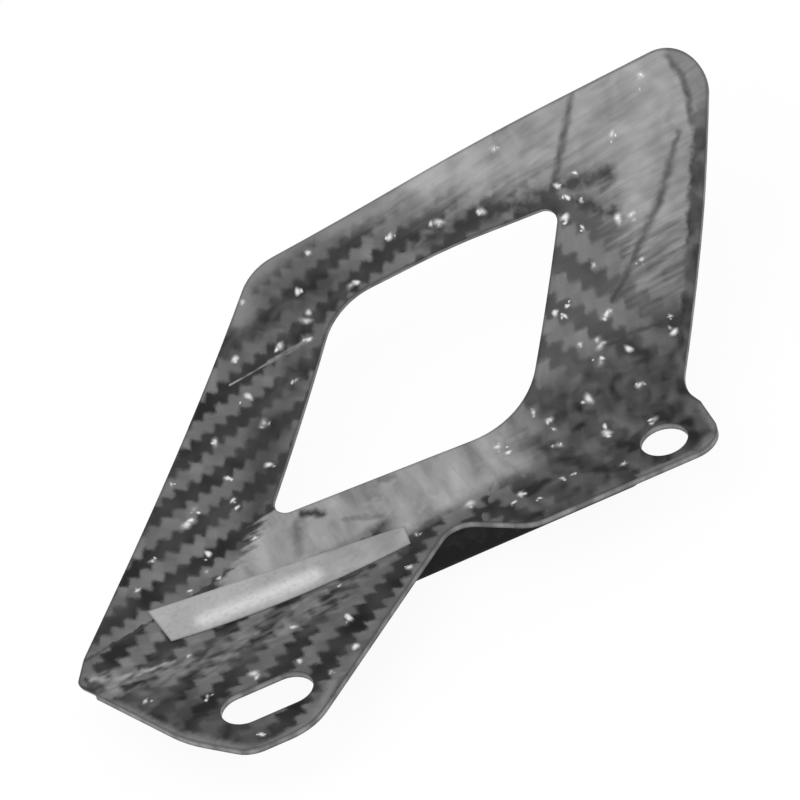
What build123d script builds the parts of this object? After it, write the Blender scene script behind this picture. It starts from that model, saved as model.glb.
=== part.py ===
# Chain guard: a thin woven laminate with a swept, twisted fin on a bolted flange.
# Frame: origin at the round bolt hole on the flange's upper face, X along the slot towards the lug,
# Y from the flange towards the fin, Z up out of the flange. Millimetres.
import os
from math import cos, radians, sin

from build123d import *

# Laminate
wall = 1.0

# Bolt holes in the flange
hole_diameter = 7.0
slot_width = 7.0
slot_length = 14.0
slot_x = -69.4
slot_y = -17.6

# Flange outline: a tab round the slot, a scalloped gap, then a narrow shelf and a lug round the hole
flange_front_x = -90.0
tab_shoulder = (-82.7, -18.8)
tab_front = (-75.8, -27.0)
tab_rear = (-65.8, -27.0)
scallop = (-32.5, 2.2)
shelf = (-22.9, -5.6)
lug_corner = (7.7, -5.6)
shoulder_radius = 20.0
tab_front_radius = 5.0
tab_rear_radius = 10.0
scallop_radius = 4.0
shelf_radius = 6.0
lug_radius = 4.8

# Bend line between flange and fin, given at the two ends of the blank
front_end_x = -95.0
rear_end_x = 34.0
bend_y_front = -1.9
bend_y_rear = 6.4
bend_radius = 10.0

# Fin: its lean above the flange, in degrees, grows from the front to the rear
front_lean = 9.0
middle_lean = 12.0
rear_lean = 48.0
middle_x = -52.0
fin_reach = 75.0

# Fin outline, drawn on a plane that faces along fin_facing
fin_facing = (-0.25, -0.45, 0.857)
front_corner = (-88.8, 1.4)
front_foot = (-86.5, 5.3)
front_top = (-42.0, 56.2)
crest = (-5.0, 56.1)
rear_top = (33.6, 52.7)
rear_middle = (20.6, 31.3)
rear_foot = (5.4, 7.6)
front_corner_radius = 1.5
front_foot_radius = 4.0
edge_radius = 300.0
front_top_radius = 8.0
tip_radius = 6.0
notch_radius = 4.0

# Window, a smaller figure with sides parallel to the fin's
window_front_foot = (-55.3, 15.0)
window_front_head = (-33.2, 44.1)
window_crest = (-15.0, 43.6)
window_rear_head = (2.3, 41.1)
window_rear_foot = (-16.2, 12.6)
window_sharp_radius = 2.0
window_front_radius = 11.0
window_crest_radius = 90.0
window_rear_radius = 14.0

# Skirt under the bend, spanning the gap between the two bolted ends
skirt_y = 4.2
skirt_drop = 9.2
skirt_front_x = -56.0
skirt_rear_x = -3.4
skirt_corner_radius = 2.0

# Adhesive strip along the foot of the fin, drawn on the fin outline's plane; its apron crosses the bend
label_thickness = 0.25
label_front_foot = (-74.3, 2.0)
label_front_head = (-75.6, 8.6)
label_rear_head = (-38.1, 4.4)
label_rear_foot = (-38.3, 1.0)
label_middle_foot = (-57.0, 0.4)
label_apron = 6.0


def bend_y(x):
    """Y of the straight bend line at x."""
    share = (x - front_end_x) / (rear_end_x - front_end_x)
    return bend_y_front + share * (bend_y_rear - bend_y_front)


def layer_section(x, lean, under, over):
    """Section at x of a layer of the fin that lies between two heights above the visible face."""

    def point(height, angle, reach=0):
        radius = bend_radius - height
        along = radius * sin(angle) + reach * cos(angle)
        return (along, bend_radius - radius * cos(angle) + reach * sin(angle))

    turn = radians(lean)
    with BuildSketch(Plane(origin=(x, bend_y(x), 0), x_dir=(0, 1, 0), z_dir=(1, 0, 0))) as section:
        with BuildLine():
            Line(point(under, 0), point(over, 0))
            ThreePointArc(point(over, 0), point(over, turn / 2), point(over, turn))
            Line(point(over, turn), point(over, turn, fin_reach))
            Line(point(over, turn, fin_reach), point(under, turn, fin_reach))
            Line(point(under, turn, fin_reach), point(under, turn))
            ThreePointArc(point(under, turn), point(under, turn / 2), point(under, 0))
        make_face()
    return section.sketch


def fin_layer(under, over):
    """Sections of such a layer at the fin's three stations."""
    stations = ((front_end_x, front_lean), (middle_x, middle_lean), (rear_end_x, rear_lean))
    return [layer_section(x, lean, under, over) for x, lean in stations]


fin_plane = Plane(origin=(0, 0, 0), x_dir=(1, 0, 0), z_dir=fin_facing)
bend_front = fin_plane.to_local_coords(Vector(flange_front_x, bend_y(flange_front_x), 0))
bend_rear = fin_plane.to_local_coords(Vector(lug_corner[0], bend_y(lug_corner[0]), 0))
below_bend = 3 * wall
skirt_sink = wall / 5

# Fin: the lofted laminate, cut to its swept outline and pierced by its window
with BuildPart() as fin:
    loft(sections=fin_layer(-wall, 0))
    with BuildSketch(fin_plane):
        with BuildLine():
            FilletPolyline(
                (bend_front.X, bend_front.Y - below_bend),
                (bend_front.X, bend_front.Y),
                front_corner,
                front_foot,
                front_top,
                crest,
                rear_top,
                rear_middle,
                rear_foot,
                (bend_rear.X, bend_rear.Y),
                (bend_rear.X, bend_rear.Y - below_bend),
                radius=(0, 0, front_corner_radius, front_foot_radius, front_top_radius, edge_radius)
                + (tip_radius, edge_radius, notch_radius, 0, 0),
                close=True,
            )
        make_face()
        with BuildLine():
            FilletPolyline(
                window_front_foot,
                window_front_head,
                window_crest,
                window_rear_head,
                window_rear_foot,
                radius=(window_sharp_radius, window_front_radius, window_crest_radius)
                + (window_sharp_radius, window_rear_radius),
                close=True,
            )
        make_face(mode=Mode.SUBTRACT)
    extrude(amount=fin_reach, both=True, mode=Mode.INTERSECT)

# Guard: the flat flange up to the bend, the fin beyond it and the skirt below
with BuildPart() as guard:
    with BuildSketch():
        with BuildLine():
            FilletPolyline(
                (flange_front_x, bend_y(flange_front_x)),
                tab_shoulder,
                tab_front,
                tab_rear,
                scallop,
                shelf,
                lug_corner,
                (lug_corner[0], bend_y(lug_corner[0])),
                radius=(0, shoulder_radius, tab_front_radius, tab_rear_radius)
                + (scallop_radius, shelf_radius, lug_radius, 0),
                close=True,
            )
        make_face()
        Circle(hole_diameter / 2, mode=Mode.SUBTRACT)
        with Locations((slot_x, slot_y)):
            SlotOverall(slot_length, slot_width, mode=Mode.SUBTRACT)
    extrude(amount=-wall)
    add(fin.part)
    with BuildSketch(Plane.XZ.offset(-skirt_y)):
        with BuildLine():
            FilletPolyline(
                (skirt_front_x, -skirt_sink),
                (skirt_front_x, -skirt_drop),
                (skirt_rear_x, -skirt_drop),
                (skirt_rear_x, -skirt_sink),
                radius=(0, skirt_corner_radius, skirt_corner_radius, 0),
                close=True,
            )
        make_face()
    extrude(amount=-wall)
guard.part.label = "guard"

# Adhesive strip: a thin layer on the fin's visible face
with BuildPart() as blank_label:
    loft(sections=fin_layer(-label_thickness, label_thickness))
    with BuildSketch():
        with BuildLine():
            Polyline(
                (front_end_x, bend_y_front),
                (rear_end_x, bend_y_rear),
                (rear_end_x, bend_y_rear - label_apron),
                (front_end_x, bend_y_front - label_apron),
                close=True,
            )
        make_face()
    extrude(amount=label_thickness)
    with BuildSketch(fin_plane):
        with BuildLine():
            Polyline(label_front_foot, label_front_head, label_rear_head, label_rear_foot)
            ThreePointArc(label_rear_foot, label_middle_foot, label_front_foot)
        make_face()
    extrude(amount=fin_reach, both=True, mode=Mode.INTERSECT)
    add(guard.part, mode=Mode.SUBTRACT)
blank_label.part.label = "blank_label"

os.makedirs("parts", exist_ok=True)
for piece in (guard, blank_label):
    export_step(piece.part, f"parts/{piece.part.label}.step")
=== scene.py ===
import math

import bpy
import numpy as np
from mathutils import Matrix, Vector
from mathutils.bvhtree import BVHTree


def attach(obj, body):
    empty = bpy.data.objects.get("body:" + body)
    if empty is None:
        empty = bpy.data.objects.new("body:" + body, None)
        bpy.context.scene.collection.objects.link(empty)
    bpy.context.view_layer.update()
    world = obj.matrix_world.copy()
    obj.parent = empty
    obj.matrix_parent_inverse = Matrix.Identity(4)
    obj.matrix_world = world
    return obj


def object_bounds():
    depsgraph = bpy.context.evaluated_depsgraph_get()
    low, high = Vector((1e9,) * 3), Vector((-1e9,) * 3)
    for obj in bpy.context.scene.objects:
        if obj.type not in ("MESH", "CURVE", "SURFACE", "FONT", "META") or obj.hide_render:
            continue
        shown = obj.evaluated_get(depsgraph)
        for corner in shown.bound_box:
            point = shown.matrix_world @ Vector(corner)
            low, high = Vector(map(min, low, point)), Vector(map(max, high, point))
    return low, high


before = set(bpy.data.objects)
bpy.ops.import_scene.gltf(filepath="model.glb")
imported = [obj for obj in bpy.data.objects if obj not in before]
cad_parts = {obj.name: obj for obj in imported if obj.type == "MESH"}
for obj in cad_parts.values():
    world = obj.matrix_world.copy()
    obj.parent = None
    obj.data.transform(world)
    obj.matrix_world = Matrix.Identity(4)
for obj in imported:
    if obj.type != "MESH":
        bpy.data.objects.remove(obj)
cad_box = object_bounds()

# The guard: one hand-laid shell of woven carbon cloth in clear resin, 1.0 mm thick, trimmed along its edge.
# The face that shows is the bag side, creased and dappled with resin; the far face came off the mould, so it
# is smooth and glossy. The solid keeps its shape, and the cloth is drawn on it in flattened millimetres.
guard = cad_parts["guard"]
tow_pitch = 2.0
arm_pitch = 1.8
band_squeeze = 0.88
band_spread = 1.14
tow_to_band = math.radians(45.0)
bend_slope = 0.06434
bend_at_hole = 4.2124
outline_facing = Vector((-0.25, -0.45, 0.857)).normalized()
edge_slant = 0.6
skirt_top = -1.05


def linear(hex_colour):
    """The linear colour of an sRGB hex value: each channel by the sRGB curve, with full alpha."""
    channels = np.array([int(hex_colour[k:k + 2], 16) for k in (1, 3, 5)]) / 255
    curved = np.where(channels <= 0.04045, channels / 12.92, ((channels + 0.055) / 1.055) ** 2.4)
    return (*curved.tolist(), 1.0)


def add(tree, kind, inputs=None, **settings):
    """Adds a node, sets its properties, and fills its inputs with values, sockets or nodes' first outputs."""
    made = tree.nodes.new(kind)
    for name, value in settings.items():
        setattr(made, name, value)
    for key, value in (inputs or {}).items():
        if isinstance(value, bpy.types.Node):
            value = value.outputs[0]
        if isinstance(value, bpy.types.NodeSocket):
            tree.links.new(value, made.inputs[key])
        else:
            made.inputs[key].default_value = value
    return made


def beyond(tree, flat, facing, start, end):
    """A share that climbs smoothly from 0 to 1 as the distance along facing goes from start to end."""
    along = add(tree, "ShaderNodeVectorMath", {0: flat, 1: (*facing, 0.0)}, operation="DOT_PRODUCT")
    distance = along.outputs["Value"]
    return add(tree, "ShaderNodeMapRange", {0: distance, 1: start, 2: end}, interpolation_type="SMOOTHSTEP")


def most_of(tree, shares):
    """The largest of several shares."""
    largest = shares[0]
    for share in shares[1:]:
        largest = add(tree, "ShaderNodeMath", {0: largest, 1: share}, operation="MAXIMUM")
    return largest


def product_of(tree, shares):
    """The product of several shares."""
    product = shares[0]
    for share in shares[1:]:
        product = add(tree, "ShaderNodeMath", {0: product, 1: share}, operation="MULTIPLY")
    return product


def along_strokes(tree, flat, strokes):
    """The largest of several strokes' shares: each is 1 on the straight line between its two ends and falls
    smoothly to 0 at its width from that line."""
    shares = []
    for begin, finish, width in strokes:
        step = Vector(finish) - Vector(begin)
        unit = (*(step / step.length_squared), 0.0)
        offset = add(tree, "ShaderNodeVectorMath", {0: flat, 1: (*begin, 0.0)}, operation="SUBTRACT")
        part = add(tree, "ShaderNodeVectorMath", {0: offset, 1: unit}, operation="DOT_PRODUCT")
        part = add(tree, "ShaderNodeClamp", {0: part.outputs["Value"]})
        foot = add(tree, "ShaderNodeVectorMath", {0: (*step, 0.0), "Scale": part}, operation="SCALE")
        gap = add(tree, "ShaderNodeVectorMath", {0: offset, 1: foot}, operation="DISTANCE").outputs["Value"]
        near = add(tree, "ShaderNodeMapRange", {0: gap, 1: width, 2: 0.0}, interpolation_type="SMOOTHSTEP")
        shares.append(near)
    return most_of(tree, shares)


def layered(tree, base, *layers):
    """Colours, or numbers, laid over a base in turn: each layer hides what is under it by its share."""
    top = linear(base) if isinstance(base, str) else base
    coloured = isinstance(top, (tuple, bpy.types.NodeSocketColor, bpy.types.NodeSocketVector))
    kind, under, over, out = ("RGBA", 6, 7, 2) if coloured else ("FLOAT", 2, 3, 0)
    for share, layer in layers:
        layer = linear(layer) if isinstance(layer, str) else layer
        top = add(tree, "ShaderNodeMix", {0: share, under: top, over: layer}, data_type=kind).outputs[out]
    return top


def twill(tree, tows):
    """Two-by-two twill on a point measured in tows: the first tow lies on top where the difference of the two
    tow numbers is 0 or 1 of every 4. Gives that share, each crossing's own tone, the tows' round backs and
    their fibres."""
    numbers = add(tree, "ShaderNodeVectorMath", {0: tows}, operation="FLOOR")
    first, second = add(tree, "ShaderNodeSeparateXYZ", {0: numbers}).outputs[:2]
    step = add(tree, "ShaderNodeMath", {0: first, 1: second}, operation="SUBTRACT")
    step = add(tree, "ShaderNodeMath", {0: step, 1: 4.0}, operation="FLOORED_MODULO")
    on_top = add(tree, "ShaderNodeMath", {0: step, 1: 1.5}, operation="LESS_THAN")
    chance = add(tree, "ShaderNodeTexWhiteNoise", {"Vector": numbers}, noise_dimensions="3D").outputs["Value"]
    tone = add(tree, "ShaderNodeMapRange", {0: chance, 3: 0.72, 4: 1.1}).outputs[0]
    within = add(tree, "ShaderNodeVectorMath", {0: tows}, operation="FRACTION")
    within = add(tree, "ShaderNodeSeparateXYZ", {0: within})
    across = layered(tree, within.outputs["X"], (on_top, within.outputs["Y"]))
    backs = add(tree, "ShaderNodeMath", {0: across, 1: 0.5}, operation="PINGPONG")
    grain = []
    for pull in ((7.0, 0.6, 1.0), (0.6, 7.0, 1.0)):
        drawn = add(tree, "ShaderNodeVectorMath", {0: tows, 1: pull}, operation="MULTIPLY")
        grain.append(add(tree, "ShaderNodeTexNoise", {"Vector": drawn, "Scale": 1.0}).outputs[0])
    fibres = layered(tree, grain[0], (on_top, grain[1]))
    return on_top, tone, backs, fibres


# Carbon twill in epoxy: near-black fibre whose tows flash grey as they turn, painted in as reflection,
# dulled where resin lies thick and paled by painted sheen, so the eye sees stair-stepped dark and grey cells,
# milky patches and creases with painted shade
carbon = bpy.data.materials.new("carbon_twill_in_epoxy")
carbon.use_nodes = True
tree = carbon.node_tree
tree.nodes.clear()

# Flattened shell: X as it is, and the distance from the bend line up the fin or down the flange
place = add(tree, "ShaderNodeTexCoord").outputs["Object"]
part_mm = add(tree, "ShaderNodeVectorMath", {0: place, "Scale": 1000.0}, operation="SCALE").outputs["Vector"]
axes = add(tree, "ShaderNodeSeparateXYZ", {0: part_mm})
bend_normal = (-bend_slope, 1.0, 0.0)
past_bend = add(tree, "ShaderNodeVectorMath", {0: part_mm, 1: bend_normal}, operation="DOT_PRODUCT")
past_bend = past_bend.outputs["Value"]
past_bend = add(tree, "ShaderNodeMath", {0: past_bend, 1: bend_at_hole}, operation="SUBTRACT")
side = add(tree, "ShaderNodeMath", {0: past_bend}, operation="SIGN")
rise = add(tree, "ShaderNodeCombineXYZ", {1: past_bend, 2: axes.outputs["Z"]})
reach = add(tree, "ShaderNodeVectorMath", {0: rise}, operation="LENGTH").outputs["Value"]
reach = add(tree, "ShaderNodeMath", {0: reach, 1: side}, operation="MULTIPLY")
flat = add(tree, "ShaderNodeCombineXYZ", {0: axes.outputs["X"], 1: reach})

# Resin and fibre noise, its scales per millimetre: clouds 9 mm wide, marbling 4 mm, blots about a tow wide,
# grit of half a millimetre, and streaks, folds and dashes drawn out along the length or across it
cloud = add(tree, "ShaderNodeTexNoise", {"Vector": flat, "Scale": 0.11, "Detail": 2.0}).outputs[0]
blot = add(tree, "ShaderNodeTexNoise", {"Vector": flat, "Scale": 0.42, "Detail": 2.0}).outputs[0]
grit = add(tree, "ShaderNodeTexNoise", {"Vector": flat, "Scale": 2.2, "Detail": 2.0}).outputs[0]
marble = add(tree, "ShaderNodeTexNoise", {
    "Vector": flat, "Scale": 0.26, "Detail": 1.5, "Distortion": 0.6}).outputs[0]
combed = add(tree, "ShaderNodeMapping", {0: flat, 2: (0.0, 0.0, math.radians(-4.0)), 3: (0.16, 1.0, 1.0)})
streak = add(tree, "ShaderNodeTexNoise", {"Vector": combed, "Scale": 1.0, "Detail": 2.0}).outputs[0]
folded = add(tree, "ShaderNodeMapping", {0: flat, 2: (0.0, 0.0, math.radians(12.0)), 3: (0.3, 0.09, 1.0)})
fold = add(tree, "ShaderNodeTexNoise", {"Vector": folded, "Scale": 1.0, "Detail": 3.0}).outputs[0]
dashed = add(tree, "ShaderNodeMapping", {0: flat, 2: (0.0, 0.0, math.radians(-8.0)), 3: (0.36, 0.8, 1.0)})
dash = add(tree, "ShaderNodeTexNoise", {"Vector": dashed, "Scale": 1.0, "Detail": 1.0}).outputs[0]
blots = add(tree, "ShaderNodeMapRange", {0: blot, 1: 0.38, 2: 0.64}).outputs[0]
marbling = add(tree, "ShaderNodeMapRange", {0: marble, 1: 0.36, 2: 0.68}).outputs[0]
dashes = add(tree, "ShaderNodeMapRange", {0: dash, 1: 0.36, 2: 0.64}).outputs[0]
streaks = add(tree, "ShaderNodeMapRange", {0: streak, 1: 0.32, 2: 0.68}).outputs[0]
folds = add(tree, "ShaderNodeMapRange", {0: fold, 1: 0.32, 2: 0.68}).outputs[0]

# Hand-laid cloth wanders: the flat point is pushed about slowly for the weave and quickly for frayed ends.
# Stray filaments blur each tow's edge; they are drawn a twentieth of a millimetre wide, coarser than life.
noise_middle = (0.5, 0.5, 0.5)
pushes = []
for scale, detail in ((0.06, 1.0), (0.8, 2.0), (18.0, 0.0)):
    push = add(tree, "ShaderNodeTexNoise", {"Vector": flat, "Scale": scale, "Detail": detail})
    push = push.outputs["Color"]
    pushes.append(add(tree, "ShaderNodeVectorMath", {0: push, 1: noise_middle}, operation="SUBTRACT"))
drift, jitter, strays = pushes
pulled = add(tree, "ShaderNodeMath", {0: streak, 1: 0.5}, operation="SUBTRACT")
pulled = add(tree, "ShaderNodeCombineXYZ", {0: pulled})
laid = add(tree, "ShaderNodeVectorMath", {0: drift, 1: (3.0, 3.0, 0.0), 2: flat}, operation="MULTIPLY_ADD")
cloth = add(tree, "ShaderNodeVectorMath", {0: jitter, 1: (1.0, 1.0, 0.0), 2: laid}, operation="MULTIPLY_ADD")
cloth = add(tree, "ShaderNodeVectorMath", {0: strays, 1: (1.6, 1.6, 0.0), 2: cloth}, operation="MULTIPLY_ADD")
creased, wavy = (
    add(tree, "ShaderNodeVectorMath", {0: jitter, 1: (sway, sway, 0.0), 2: flat}, operation="MULTIPLY_ADD")
    for sway in (0.9, 1.4))
frayed = add(tree, "ShaderNodeVectorMath", {0: pulled, 1: (9.0, 0.0, 0.0), 2: wavy}, operation="MULTIPLY_ADD")

# Three pieces of cloth, measured in tows: over the front arm, on the flange and foot, and on the rear arm.
# Each is turned so its bands of twill run along X, is sheared by the laying up, and is turned to its tows.
clothes = []
for band_angle, pitch in ((10.0, arm_pitch), (36.0, tow_pitch), (-57.0, tow_pitch)):
    sheared = (1 / (pitch * band_squeeze), 1 / (pitch * band_spread), 1.0)
    banded = add(tree, "ShaderNodeMapping", {0: cloth, 2: (0.0, 0.0, math.radians(-band_angle))})
    clothes.append(add(tree, "ShaderNodeMapping", {0: banded, 2: (0.0, 0.0, tow_to_band), 3: sheared}))
arm_cloth, foot_cloth, rear_cloth = clothes
on_foot = beyond(tree, wavy, (0.12, -1.0), -17.5, -17.49)
on_rear = beyond(tree, wavy, (0.8, -0.6), -21.5, -21.49)
tows = add(tree, "ShaderNodeMix", {0: on_foot, 4: arm_cloth, 5: foot_cloth}, data_type="VECTOR").outputs[1]
tows = add(tree, "ShaderNodeMix", {0: on_rear, 4: tows, 5: rear_cloth}, data_type="VECTOR").outputs[1]
on_top, tow_tone, backs, fibres = twill(tree, tows)

# Where the painted grey flash, the tows' reflection, shows: even on the arms, fading in slow clouds,
# mottled round the lug and on the slot's tab, washed into streaks along the bend's foot, and lost in painted
# shade beside the window
lug_ply = product_of(tree, [
    beyond(tree, wavy, (0.8, -0.6), -22.0, -13.0), beyond(tree, wavy, (0.1, -1.0), -18.0, -11.0)])
tab_ply = along_strokes(tree, wavy, [((-84.0, -6.5), (-76.0, -22.0), 9.0)])
arm_ply = along_strokes(tree, wavy, [
    ((-44.0, 46.5), (-31.0, 47.0), 7.0), ((-40.0, 38.0), (-47.0, 30.0), 4.5),
])
mottled = most_of(tree, [lug_ply, tab_ply, arm_ply])
washed = along_strokes(tree, wavy, [
    ((-87.5, -0.5), (-74.0, -4.0), 5.5), ((-74.0, -4.0), (-54.0, -3.5), 6.5),
    ((-50.0, -2.0), (-42.0, 0.0), 3.0),
])
# Painted shade beside the window: there the grey flash is dimmed almost to black
ply_shade = along_strokes(tree, wavy, [
    ((-49.0, 30.0), (-54.5, 20.0), 5.0), ((-54.5, 20.0), (-60.5, 13.0), 3.4),
])
steady = add(tree, "ShaderNodeMapRange", {0: cloud, 1: 0.36, 2: 0.6, 3: 0.45, 4: 1.0}).outputs[0]
# The grey flash is painted reflection: each tow's share of the pale fibre colour
tow_reflection_share = layered(tree, 0.4, (steady, product_of(tree, [on_top, tow_tone])))
tow_reflection_share = layered(tree, tow_reflection_share, (mottled, layered(tree, marbling, (0.42, tow_reflection_share))))
tow_reflection_share = layered(tree, tow_reflection_share, (washed, layered(tree, dashes, (0.5, tow_reflection_share))))
tow_reflection_share = layered(tree, tow_reflection_share, (ply_shade, layered(tree, 0.1, (0.25, tow_reflection_share))))

# The fibre's colours, dark and flashing: painted shade makes them darkest on the flange, and painted light
# greyest on the rear arm
flange_shade = beyond(tree, wavy, (0.0, -1.0), -1.5, 1.0)
rear_arm_light = beyond(tree, wavy, (0.8, -0.6), -21.5, -18.0)
fibre = layered(tree, "#1e1e1e", (tow_reflection_share, "#6e6e6e"))
for share, dark, pale in (
    (rear_arm_light, "#404040", "#747474"), (flange_shade, "#111111", "#666666"), (mottled, "#1c1c1c", "#5c5c5c"),
    (tab_ply, "#161616", "#505050"), (washed, "#1a1a1a", "#7e7e7e"),
):
    fibre = layered(tree, fibre, (share, layered(tree, dark, (tow_reflection_share, pale))))
combing = add(tree, "ShaderNodeMapRange", {0: fibres, 1: 0.25, 2: 0.75, 3: 0.8, 4: 1.2}).outputs[0]
fibre = add(tree, "ShaderNodeVectorMath", {0: fibre, "Scale": combing}, operation="SCALE").outputs["Vector"]

# The milky patches, partly resin haze and partly painted sheen: a ply along the foot with a frayed front
# edge, and the outer half of the crown and tip
foot_patch = product_of(tree, [
    beyond(tree, frayed, (0.588, -0.809), -46.6, -44.6),
    beyond(tree, frayed, (-1.0, -0.35), 8.0, 18.0),
    beyond(tree, wavy, (-0.06, 1.0), 6.2, 9.2),
])
shelf_patch = product_of(tree, [
    beyond(tree, wavy, (1.0, 0.0), -44.0, -38.0),
    beyond(tree, frayed, (-1.0, -0.35), 12.0, 20.0),
    beyond(tree, wavy, (-0.06, 1.0), 2.4, 5.4),
    beyond(tree, wavy, (0.0, -1.0), -22.0, -18.0),
])
# Painted sheen: the lamp's reflection on the outer half of the crown and on the tip
crown_gleam = beyond(tree, frayed, (0.42, 0.91), 34.0, 43.0)
tip_gleam = product_of(tree, [
    beyond(tree, frayed, (0.98, -0.2), -1.0, 6.0),
    beyond(tree, wavy, (0.35, 0.94), 13.0, 30.0),
])
on_foot_patch = most_of(tree, [foot_patch, shelf_patch])
haze_and_gleam = most_of(tree, [on_foot_patch, crown_gleam, tip_gleam])

# Milk: resin over fibre with painted sheen, cloudy on the crown and painted lighter towards its front,
# coarsely streaked below the tip, softly folded on the foot
clouded = add(tree, "ShaderNodeMapRange", {0: cloud, 1: 0.35, 2: 0.65}).outputs[0]
clouded = layered(tree, clouded, (0.45, marbling))
lit_crown = product_of(tree, [beyond(tree, wavy, (-1.0, 0.0), -6.0, 8.0), clouded])
above_tip_foot = beyond(tree, wavy, (0.2, 1.0), 24.0, 36.0)
milk = layered(tree, "#6a6a6a", (layered(tree, clouded, (0.3, streaks)), "#9a9a9a"), (lit_crown, "#a0a0a0"))
milk = layered(tree, "#464646", (streaks, "#848484"), (above_tip_foot, milk))
foot_milk = layered(tree, "#6e6e6e", (folds, "#9a9a9a"), (product_of(tree, [on_top, blots]), "#8a8a8a"))
face = layered(tree, fibre, (haze_and_gleam, layered(tree, milk, (on_foot_patch, foot_milk))))

# The outer rim: a rolled lip painted as a band of shade, in bare dark cells down the rear edge and dull grey
# round the tip, and a pale front shoulder
rear_lip_shade = beyond(tree, wavy, (0.874, -0.486), 2.7, 3.7)
tip_lip_shade = product_of(tree, [
    beyond(tree, wavy, (1.0, 0.0), 24.9, 25.9), beyond(tree, flat, (0.0, 1.0), 37.0, 40.0)])
lip_shade_face = layered(tree, "#1e1e1e", (marbling, "#565656"))
tip_lip_face = layered(tree, "#6a6a6a", (streaks, "#7c7c7c"))
lip_shade_face = layered(tree, lip_shade_face, (beyond(tree, wavy, (0.0, 1.0), 36.0, 41.0), tip_lip_face))
shoulder = along_strokes(tree, wavy, [
    ((-44.5, 50.0), (-41.5, 55.0), 3.4), ((-41.5, 55.0), (-32.0, 56.5), 4.0),
    ((-32.0, 56.5), (-20.0, 53.5), 3.0),
])
face = layered(tree, face, (most_of(tree, [rear_lip_shade, tip_lip_shade]), lip_shade_face), (shoulder, "#767676"))

# Creases pressed in by the bag and faint folds, darkened with painted shade, a few raised seams and smears,
# and dark smudges of bare fibre
creases = along_strokes(tree, creased, [
    ((21.9, 37.1), (19.2, 34.0), 0.8), ((19.2, 34.0), (15.3, 29.7), 1.2), ((15.3, 29.7), (10.0, 25.4), 1.1),
    ((10.0, 25.4), (5.9, 21.9), 0.8), ((5.9, 21.9), (3.2, 20.2), 0.5), ((10.7, 49.9), (6.4, 44.3), 1.0),
    ((6.4, 44.3), (2.5, 39.3), 1.0), ((8.0, 13.9), (-0.2, 14.4), 0.5), ((-88.9, 6.8), (-78.5, 7.7), 0.5),
    ((25.0, 47.5), (25.6, 44.0), 0.8), ((25.6, 44.0), (25.3, 41.0), 0.9), ((25.3, 41.0), (24.2, 37.5), 0.9),
])
faint_folds = along_strokes(tree, wavy, [
    ((-52.1, 12.6), (-54.0, 7.3), 1.3), ((-38.7, 12.1), (-36.5, 11.6), 0.8),
    ((-46.0, 9.0), (-41.0, 6.5), 0.8),
])
smudges = along_strokes(tree, wavy, [
    ((-17.0, 44.0), (-8.0, 42.0), 2.6), ((-8.0, 42.0), (0.5, 39.6), 2.6), ((3.4, 39.3), (10.5, 37.2), 2.2),
    ((5.0, 36.0), (9.0, 31.5), 1.8),
])
chip = along_strokes(tree, wavy, [((-50.8, 13.4), (-48.4, 11.6), 1.1)])
seams = along_strokes(tree, flat, [
    ((-50.5, 40.3), (-44.0, 40.2), 0.28), ((-44.0, 40.2), (-36.6, 40.0), 0.6),
    ((-29.0, 9.5), (-27.6, 3.2), 0.24),
])
smears = along_strokes(tree, wavy, [((-89.0, 3.2), (-84.0, 0.2), 1.3), ((-84.0, 0.2), (-78.0, -1.0), 0.8)])
smudging = add(tree, "ShaderNodeMapRange", {0: blot, 1: 0.3, 2: 0.55, 4: 0.9}).outputs[0]
firmness = add(tree, "ShaderNodeMapRange", {0: blot, 1: 0.3, 2: 0.7, 3: 0.5, 4: 0.9}).outputs[0]
# Painted shade in the creases, firmer where the blots are, and faintly in the folds
crease_shade = most_of(tree, [product_of(tree, [creases, firmness]), product_of(tree, [faint_folds, 0.4])])

# The lug and the tab are rounded off at their rims, drawn as a pale band of painted highlight along them
rim_highlight = along_strokes(tree, wavy, [
    ((-88.5, -4.0), (-83.2, -16.8), 1.6), ((-83.2, -16.8), (-76.0, -26.4), 2.1),
    ((-76.0, -26.4), (-66.0, -27.0), 1.3), ((-66.0, -27.0), (-60.0, -20.5), 1.1),
    ((-6.0, -9.4), (4.0, -10.1), 1.2), ((4.0, -10.1), (7.4, -8.4), 2.2), ((7.6, -8.0), (7.9, -1.0), 1.7),
])
face = layered(
    tree, face, (product_of(tree, [smudges, smudging]), "#2c2c2c"), (chip, "#343434"), (crease_shade, "#383838"),
    (product_of(tree, [seams, dashes]), "#929292"), (product_of(tree, [smears, dashes]), "#949494"),
    (rim_highlight, "#707070"))

# The far face is plain mould gloss over one even cloth; the trimmed edge is grey, and the skirt is painted
# dark as the shade under the flange.
# Every trimmed edge is outlined by a thin dark line, drawn within half a millimetre of the edge.
normal = add(tree, "ShaderNodeNewGeometry").outputs["True Normal"]
facing = add(tree, "ShaderNodeVectorMath", {0: normal, 1: tuple(outline_facing)}, operation="DOT_PRODUCT")
facing = facing.outputs["Value"]
far_side = add(tree, "ShaderNodeMath", {0: facing, 1: -edge_slant}, operation="LESS_THAN")
slant = add(tree, "ShaderNodeMath", {0: facing}, operation="ABSOLUTE")
trimmed = add(tree, "ShaderNodeMath", {0: slant, 1: edge_slant}, operation="LESS_THAN")
on_skirt = add(tree, "ShaderNodeMath", {0: axes.outputs["Z"], 1: skirt_top}, operation="LESS_THAN")
even_pitch = (1 / tow_pitch, 1 / tow_pitch, 1.0)
even_cloth = add(tree, "ShaderNodeMapping", {0: laid, 2: (0.0, 0.0, math.radians(35.0)), 3: even_pitch})
mould_top, mould_tone, _, mould_fibres = twill(tree, even_cloth)
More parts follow.
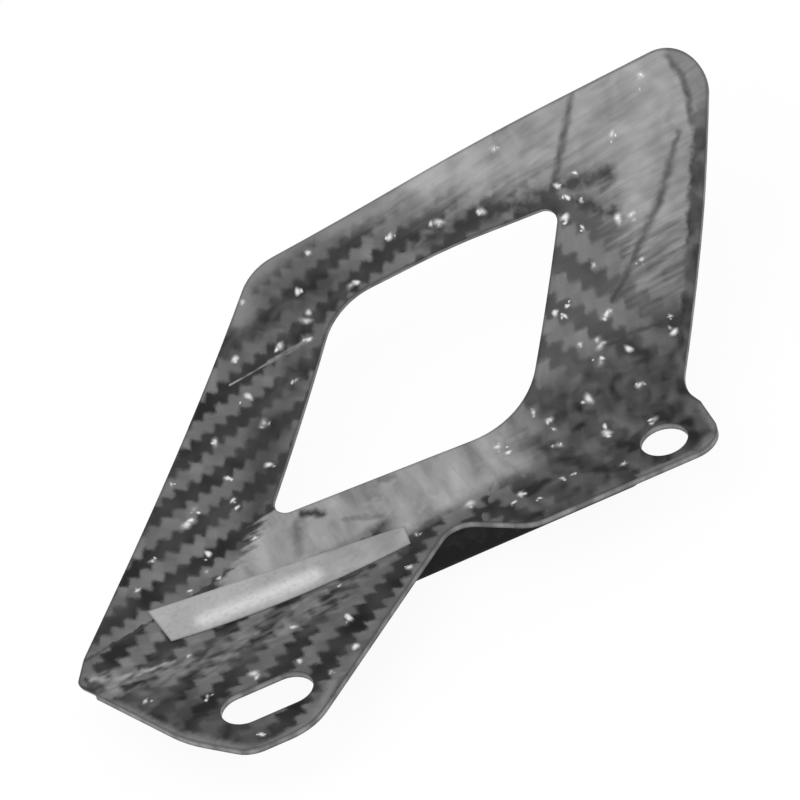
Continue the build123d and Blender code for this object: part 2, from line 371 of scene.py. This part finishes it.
# The mould face's grey cells are painted reflection too, the same tow flash on an even cloth
mould_face = layered(tree, "#1a1a1a", (product_of(tree, [mould_top, mould_tone, mould_fibres]), "#5a5a5a"))
edge_face = layered(tree, "#666666", (blots, "#8a8a8a"))
# Painted shade: the skirt under the flange is kept near black
skirt_shade = layered(tree, "#111111", (product_of(tree, [mould_top, blots]), "#202020"))
near_edge = add(
    tree, "ShaderNodeAmbientOcclusion", {"Distance": 0.0005}, samples=6, inside=True, only_local=True)
outlined = add(tree, "ShaderNodeMapRange", {0: near_edge.outputs["AO"], 1: 0.96, 2: 0.6, 4: 0.6}).outputs[0]
face = layered(
    tree, face, (far_side, mould_face), (trimmed, edge_face), (on_skirt, skirt_shade), (outlined, "#333333"))

# Relief: round-backed tows and grit, creases sunk and seams raised, all but levelled on the mould side
height = add(tree, "ShaderNodeMath", {0: backs, 1: 0.5, 2: grit}, operation="MULTIPLY_ADD")
height = add(tree, "ShaderNodeMath", {0: creases, 1: -2.0, 2: height}, operation="MULTIPLY_ADD")
height = add(tree, "ShaderNodeMath", {0: seams, 1: 1.2, 2: height}, operation="MULTIPLY_ADD")
relief = layered(tree, 0.55, (far_side, 0.04))
bump = add(tree, "ShaderNodeBump", {"Strength": relief, "Distance": 0.0001, "Height": height})
satin = add(tree, "ShaderNodeMapRange", {0: cloud, 1: 0.3, 2: 0.7, 3: 0.34, 4: 0.5}).outputs[0]
gloss = layered(tree, satin, (far_side, 0.12))
shader = add(tree, "ShaderNodeBsdfPrincipled", {
    "Base Color": face, "Roughness": gloss, "IOR": 1.5, "Specular IOR Level": 0.12, "Normal": bump})
add(tree, "ShaderNodeOutputMaterial", {"Surface": shader})
guard.data.materials.clear()
guard.data.materials.append(carbon)

# Resin beads: where tows cross, the bag left small drops of clear epoxy that catch the light, a glint painted
# into their colour. Each is a clump of low domes set on the shell's near face, given by X and Y in
# millimetres and how large it looks, 4 to 9.
bead_spots = np.array([
    # Front arm, from its upper corner down to the foot
    (-48, 44, 6), (-43, 52, 5), (-41.5, 42, 7), (-42, 35.5, 5), (-49, 37, 8), (-49, 31.5, 8),
    (-56.5, 32.5, 8), (-51.5, 24.5, 6), (-57.5, 25.5, 6), (-65, 29, 4), (-58.5, 21.5, 5), (-64, 23, 6),
    (-66, 21, 8), (-58.5, 20, 5), (-73, 17.5, 6), (-77, 13.5, 5), (-65.5, 14.5, 6), (-58.5, 13.5, 5),
    (-67, 11.5, 4), (-66, 9.5, 4), (-70.5, 9.5, 4),
    # Crown over the window, and the tip
    (-37.5, 40.5, 5), (-36.5, 43.5, 9), (-35.5, 48.5, 6), (-28.5, 44.5, 9), (-31.5, 53, 5), (-20.5, 47.5, 6),
    (-13.5, 45, 8), (-7.5, 42.5, 7), (-2, 48.5, 6), (3.5, 39, 6), (4, 37, 5), (5.5, 35.5, 4), (6.5, 39, 4),
    (13.5, 40, 6), (20.5, 43, 7),
    # Rear arm, down to the lug
    (2.5, 35, 6), (4, 32.5, 5), (9, 31, 8), (11, 30.5, 7), (3, 27.5, 4), (9.5, 25, 4), (1.5, 21, 7),
    (-5, 24.5, 5), (-4, 23.5, 5), (-3, 24.5, 4), (-4, 19, 5), (-1.5, 17.5, 8), (-2.5, 15.5, 6), (2, 15.5, 6),
    (9, 15, 6), (9.5, 17, 4), (-6.5, 11.5, 8), (1, 10.5, 6), (-6.5, 6, 7), (0.5, 5, 7), (-7, -1.5, 5),
    # Foot beside the window, and the shelf below it
    (-14.5, 13, 5), (-13, 11, 6), (-13, 9.5, 5), (-13.5, 7, 7), (-21.5, 10.5, 6), (-20.5, 9, 5), (-29, 4, 8),
    (-22, 1.5, 6), (-23.5, 0.5, 5), (-20, -1, 4), (-15.5, 1, 5), (-14, 1, 4), (-38, 2.5, 4),
    # Flange, round the slot
    (-41.5, -3.5, 5), (-51.5, -1, 4), (-53, -8.5, 8), (-54.5, -15, 6), (-60.5, -5.5, 5), (-62.5, -13, 5),
    (-69, -11.5, 8), (-59.5, -18, 4), (-75.5, -2, 4), (-76.5, -12, 5), (-84.5, -7.5, 6), (-73, -24.5, 5),
])
bead_unit = 0.001 / 11
bead_rise = 0.00007
bead_sink = 0.00001
bead_rings = 5
bead_sides = 14
bead_lobes = 3
lobe_spread = 0.075
main_lobe = 2.0
small_lobes = (0.6, 1.3)
above_part = 0.1
scatter = np.random.default_rng(7)
bead_spots = np.repeat(bead_spots, bead_lobes, axis=0)
small = np.arange(len(bead_spots)) % bead_lobes > 0
strewn = scatter.normal(0, lobe_spread, (len(bead_spots), 2))
bead_spots[:, :2] += strewn * bead_spots[:, 2:] * small[:, None]
bead_spots[:, 2] *= np.where(small, scatter.uniform(*small_lobes, len(bead_spots)), main_lobe)
shell = BVHTree.FromObject(guard, bpy.context.evaluated_depsgraph_get())
down = Vector((0, 0, -1))
hits = [shell.ray_cast(Vector((x / 1000, y / 1000, above_part)), down) for x, y, _ in bead_spots]
feet = np.array([hit[0] for hit in hits])
lifts = np.array([hit[1] for hit in hits])


def low_domes(feet, lifts, radii):
    """Domes on a grid of ring and angle: each point lies at its ring's radius times an ellipse in the plane
    across lift, with a ripple round it, and stands up by one less the ring squared. The painted glint falls
    from the middle to nothing at the rim."""
    count = len(feet)
    ring = np.linspace(0, 1, bead_rings)[None, :, None]
    angle = np.linspace(0, 2 * np.pi, bead_sides, endpoint=False)[None, None, :]
    turn = scatter.uniform(0, np.pi, count)[:, None, None]
    stretch = scatter.uniform(0.45, 0.8, count)[:, None, None]
    ripple = 1 + 0.1 * np.cos(3 * angle + scatter.uniform(0, 6, count)[:, None, None])
    long, short = np.cos(angle) * ring * ripple, np.sin(angle) * ring * ripple * stretch
    across = (long * np.cos(turn) - short * np.sin(turn)) * radii[:, None, None]
    along = (long * np.sin(turn) + short * np.cos(turn)) * radii[:, None, None]
    up = np.broadcast_to(bead_rise * (1 - ring ** 2) - bead_sink, across.shape)
    first = np.cross(lifts, (0.0, 1.0, 0.0))
    first /= np.linalg.norm(first, axis=1)[:, None]
    second = np.cross(lifts, first)
    points = feet[:, None, None] + across[..., None] * first[:, None, None]
    points = points + along[..., None] * second[:, None, None] + up[..., None] * lifts[:, None, None]
    start = np.arange(count)[:, None, None] * bead_rings * bead_sides
    inner = start + np.arange(bead_rings - 1)[None, :, None] * bead_sides
    here = np.arange(bead_sides)[None, None, :]
    there = (here + 1) % bead_sides
    outer = inner + bead_sides
    quads = np.stack([inner + here, outer + here, outer + there, inner + there], -1)
    glint_share = np.broadcast_to((1 - ring) ** 1.2 * scatter.uniform(0.5, 1.2, count)[:, None, None], across.shape)
    return points.reshape(-1, 3), quads.reshape(-1, 4), glint_share.ravel()


points, quads, glint_share = low_domes(feet, lifts, bead_spots[:, 2] * bead_unit)
beads_mesh = bpy.data.meshes.new("resin_beads")
beads_mesh.from_pydata(points.tolist(), [], quads.tolist())
beads_mesh.polygons.foreach_set("use_smooth", [True] * len(quads))
beads_mesh.attributes.new("glint_share", "FLOAT", "POINT").data.foreach_set("value", glint_share.astype(np.float32))
beads = bpy.data.objects.new("resin_beads", beads_mesh)
bpy.context.scene.collection.objects.link(beads)

# Clear epoxy drops: hard and glossy, painted whitish as a glint where the drop is thick and running out to
# nothing at its rim, with faint specks about a millimetre apart
epoxy = bpy.data.materials.new("clear_epoxy_drops")
epoxy.use_nodes = True
tree = epoxy.node_tree
tree.nodes.clear()
# Painted glint: the drop's whitish colour, fullest in its middle, stands in for the light it catches
white_glint = add(tree, "ShaderNodeAttribute", attribute_name="glint_share").outputs["Fac"]
place = add(tree, "ShaderNodeTexCoord").outputs["Object"]
speck = add(tree, "ShaderNodeTexNoise", {"Vector": place, "Scale": 900.0, "Detail": 1.0}).outputs[0]
speck = add(tree, "ShaderNodeMapRange", {0: speck, 1: 0.3, 2: 0.7, 3: 0.85, 4: 1.15}).outputs[0]
white_glint = product_of(tree, [white_glint, speck])
white_glint = add(tree, "ShaderNodeMapRange", {0: white_glint, 1: 0.0, 2: 1.0}, interpolation_type="SMOOTHSTEP")
drop = add(tree, "ShaderNodeBsdfPrincipled", {"Base Color": linear("#d2d2d2"), "Roughness": 0.3, "IOR": 1.55})
nothing = add(tree, "ShaderNodeBsdfTransparent")
seen_drop = add(tree, "ShaderNodeMixShader", {0: white_glint, 1: nothing, 2: drop})
add(tree, "ShaderNodeOutputMaterial", {"Surface": seen_drop})
beads_mesh.materials.append(epoxy)
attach(beads, "root")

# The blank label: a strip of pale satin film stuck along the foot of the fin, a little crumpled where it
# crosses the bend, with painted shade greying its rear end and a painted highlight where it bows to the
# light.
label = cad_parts["blank_label"]

# Satin label film: smooth soft plastic with a broad sheen, partly a painted highlight, faint crumples 6 mm
# wide and a thin painted shadow line along its cut edge
film = bpy.data.materials.new("satin_label_film")
film.use_nodes = True
tree = film.node_tree
tree.nodes.clear()
place = add(tree, "ShaderNodeTexCoord").outputs["Object"]
part_mm = add(tree, "ShaderNodeVectorMath", {0: place, "Scale": 1000.0}, operation="SCALE").outputs["Vector"]
crumple = add(tree, "ShaderNodeTexNoise", {"Vector": part_mm, "Scale": 0.16, "Detail": 2.0}).outputs[0]
crumpled = add(tree, "ShaderNodeMapRange", {0: crumple, 1: 0.4, 2: 0.66, 4: 0.6}).outputs[0]
scuff = add(tree, "ShaderNodeTexNoise", {"Vector": part_mm, "Scale": 1.4, "Detail": 2.0}).outputs[0]
scuffed = add(tree, "ShaderNodeMapRange", {0: scuff, 1: 0.48, 2: 0.8, 4: 0.3}).outputs[0]
# Painted highlight: a pale stroke along the middle where the film bows towards the light
label_gleam = product_of(tree, [along_strokes(tree, part_mm, [((-71.0, 3.4), (-54.0, 2.8), 2.4)]), 0.85])
# Painted shade: the rear end is left greyer than the front end
front_end = beyond(tree, part_mm, (-1.0, 0.0), 44.0, 66.0)
# Painted shadow: a thin dark line along the film's cut edges
near_edge = add(
    tree, "ShaderNodeAmbientOcclusion", {"Distance": 0.0003}, samples=6, inside=True, only_local=True)
outlined = add(tree, "ShaderNodeMapRange", {0: near_edge.outputs["AO"], 1: 0.9, 2: 0.5, 4: 0.55}).outputs[0]
tone = layered(
    tree, "#8e8e8e", (front_end, "#a6a6a6"), (crumpled, "#b8b8b8"), (label_gleam, "#e4e4e4"), (scuffed, "#6a6a6a"),
    (outlined, "#4c4c4c"))
bump = add(tree, "ShaderNodeBump", {"Strength": 0.6, "Distance": 0.0003, "Height": crumple})
shader = add(tree, "ShaderNodeBsdfPrincipled", {
    "Base Color": tone, "Roughness": 0.32, "IOR": 1.5, "Normal": bump})
add(tree, "ShaderNodeOutputMaterial", {"Surface": shader})
label.data.materials.clear()
label.data.materials.append(film)

# The table: a plain white sheet under the part, which keeps its soft shadow.
# The camera sees it nearly as bright as the white room behind.
floor_gap = 0.004
floor_half = 3.0
floor_glow = 0.94
floor_level = cad_box[0].z - floor_gap
corners = np.array([(-1, -1, 0), (1, -1, 0), (1, 1, 0), (-1, 1, 0)]) * floor_half + (0, 0, floor_level)
floor_mesh = bpy.data.meshes.new("table")
floor_mesh.from_pydata(corners.tolist(), [], [(0, 1, 2, 3)])
floor = bpy.data.objects.new("table", floor_mesh)
bpy.context.scene.collection.objects.link(floor)

# White table sheet: matt paper that takes the soft shadow, shown to the eye almost as bright as the room
white = bpy.data.materials.new("white_table_sheet")
white.use_nodes = True
tree = white.node_tree
tree.nodes.clear()
matt = add(tree, "ShaderNodeBsdfDiffuse", {"Color": linear("#f4f4f4")})
bright = add(tree, "ShaderNodeEmission", {"Color": linear("#ffffff"), "Strength": 1.0})
path = add(tree, "ShaderNodeLightPath")
seeing_rays = ("Is Camera Ray", "Is Glossy Ray", "Is Transmission Ray")
seen = most_of(tree, [path.outputs[ray] for ray in seeing_rays])
sheet = add(tree, "ShaderNodeMixShader", {0: product_of(tree, [seen, floor_glow]), 1: matt, 2: bright})
add(tree, "ShaderNodeOutputMaterial", {"Surface": sheet})
floor_mesh.materials.append(white)

# The camera: a long lens in front of the part and above it, rolled so that the bend climbs to the right.
# The picture is square, and the hole's centre falls on one of its pixels.
camera_right = Vector((0.906, -0.36, -0.22)).normalized()
camera_back = Vector((-0.155, -0.767, 0.62))
camera_back = (camera_back - camera_back.dot(camera_right) * camera_right).normalized()
camera_up = camera_back.cross(camera_right)
camera_distance = 3.0
picture_pixels = 800
pixels_per_metre = 7000
hole_pixel = (664.0, 439.6)
picture_centre = camera_right * ((picture_pixels / 2 - hole_pixel[0]) / pixels_per_metre)
picture_centre += camera_up * ((hole_pixel[1] - picture_pixels / 2) / pixels_per_metre)
turned = Matrix((camera_right, camera_up, camera_back)).transposed()
camera_data = bpy.data.cameras.new("camera")
camera_data.sensor_width = 36.0
camera_data.lens = camera_data.sensor_width * camera_distance / (picture_pixels / pixels_per_metre)
camera_data.clip_end = 20.0
camera = bpy.data.objects.new("camera", camera_data)
camera.matrix_world = Matrix.Translation(picture_centre + camera_back * camera_distance) @ turned.to_4x4()
bpy.context.scene.collection.objects.link(camera)
bpy.context.scene.camera = camera
bpy.context.scene.view_settings.view_transform = "Standard"

# The studio: a white room for even light, which the camera sees as plain white, and a large soft lamp above
# the part and in front of it, which throws the soft shadow on the table.
room_light = 0.7
lamp_offset = Vector((-0.25, -0.5, 0.75))
room = bpy.data.worlds.new("white_room")
room.use_nodes = True
tree = room.node_tree
tree.nodes.clear()
path = add(tree, "ShaderNodeLightPath")
room_level = layered(tree, room_light, (path.outputs["Is Camera Ray"], 1.0))
walls = add(tree, "ShaderNodeBackground", {"Color": linear("#ffffff"), "Strength": room_level})
add(tree, "ShaderNodeOutputWorld", {"Surface": walls})
bpy.context.scene.world = room
lamp_data = bpy.data.lights.new("soft_lamp", "AREA")
lamp_data.shape = "DISK"
lamp_data.size = 0.7
lamp_data.energy = 6.0
lamp = bpy.data.objects.new("soft_lamp", lamp_data)
lamp.location = picture_centre + lamp_offset
lamp.rotation_mode = "QUATERNION"
lamp.rotation_quaternion = (-lamp_offset).to_track_quat("-Z", "Y")
bpy.context.scene.collection.objects.link(lamp)
